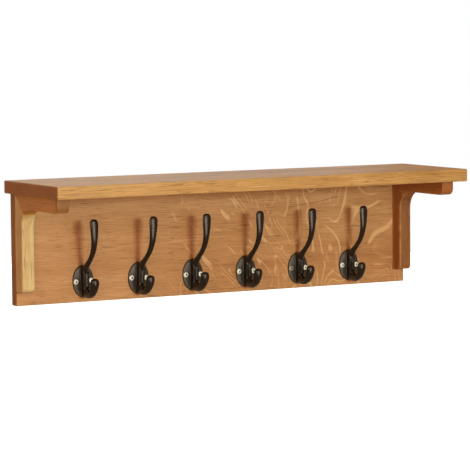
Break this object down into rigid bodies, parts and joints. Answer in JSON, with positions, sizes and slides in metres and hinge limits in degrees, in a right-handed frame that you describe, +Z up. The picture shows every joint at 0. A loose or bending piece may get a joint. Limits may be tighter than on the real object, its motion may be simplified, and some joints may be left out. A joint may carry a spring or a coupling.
{
  "type": "wall hook rack",
  "caption": "Oak wall rack: a thick shelf on a backboard with two L brackets and a row of dark cast double coat hooks.",
  "frame": {"origin": "on the wall face of the backboard, midway between the entry holes of the two keyhole hanger plates", "axes": "+X along the rack to a viewer's right, +Y out of the back face into the wall, +Z up"},
  "size_m": [0.8, 0.212, 0.214],
  "materials": {
    "oak_shelf": "satin oiled oak",
    "oak_backboard": "satin oiled oak",
    "oak_brackets": "satin oiled oak",
    "beech": "plain beech dowel",
    "dark_bronze": "dark bronze satin casting",
    "pale_brass": "pale brass plate",
    "zinc_steel": "zinc plated steel"
  },
  "bodies": {
    "root": {"shelf_board": "oak_shelf", "backboard": "oak_backboard", "left_bracket_upright": "oak_brackets", "left_bracket_arm": "oak_brackets", "right_bracket_upright": "oak_brackets", "right_bracket_arm": "oak_brackets", "shelf_dowels": "beech", "arm_dowels": "beech", "mitre_dowels": "beech", "bracket_screws": "zinc_steel", "left_hanger_plate": "zinc_steel", "right_hanger_plate": "zinc_steel", "hanger_screws": "zinc_steel", "hook_1": "dark_bronze", "hook_2": "dark_bronze", "hook_3": "dark_bronze", "hook_4": "dark_bronze", "hook_5": "dark_bronze", "hook_6": "dark_bronze", "hook_1_screws": "pale_brass", "hook_2_screws": "pale_brass", "hook_3_screws": "pale_brass", "hook_4_screws": "pale_brass", "hook_5_screws": "pale_brass", "hook_6_screws": "pale_brass"}
  },
  "joints": []
}
